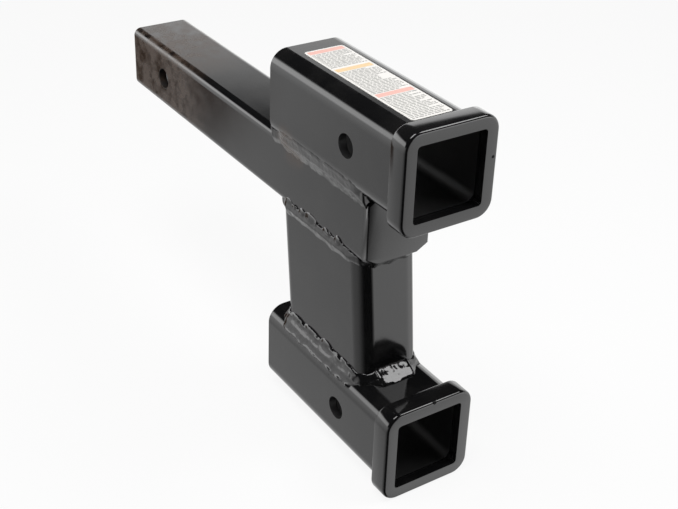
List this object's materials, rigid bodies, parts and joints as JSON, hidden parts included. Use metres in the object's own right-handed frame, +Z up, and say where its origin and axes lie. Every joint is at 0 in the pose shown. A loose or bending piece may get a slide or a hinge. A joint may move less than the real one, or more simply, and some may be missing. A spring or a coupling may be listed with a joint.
{
  "type": "dual hitch receiver",
  "caption": "Welded towing adapter: a square shank with an upper receiver on top and a lower receiver hung below on a leaning drop tube, each with a collared mouth and a pin hole.",
  "frame": {"origin": "centre of the hitch-pin hole in the shank, on the shank's axis", "axes": "+X along the shank towards the receiver mouths, +Z up as mounted on a vehicle, +Y along the pin hole"},
  "size_m": [0.398, 0.072, 0.2794],
  "materials": {
    "black_paint": "gloss",
    "painted_weld": "gloss",
    "label_film": "satin"
  },
  "bodies": {
    "root": {"shank_tube": "black_paint", "shank_end_cap": "black_paint", "upper_receiver_tube": "black_paint", "lower_receiver_tube": "black_paint", "upper_collar": "black_paint", "lower_collar": "black_paint", "drop_tube": "black_paint", "blank_label": "label_film", "upper_collar_weld": "painted_weld", "lower_collar_weld": "painted_weld", "receiver_weld_left": "painted_weld", "receiver_weld_right": "painted_weld", "receiver_weld_back": "painted_weld", "drop_top_weld_left": "painted_weld", "drop_top_weld_right": "painted_weld", "drop_top_weld_front": "painted_weld", "drop_top_weld_back": "painted_weld", "drop_base_weld_left": "painted_weld", "drop_base_weld_right": "painted_weld", "drop_base_weld_front": "painted_weld", "drop_base_weld_back": "painted_weld"}
  },
  "joints": []
}
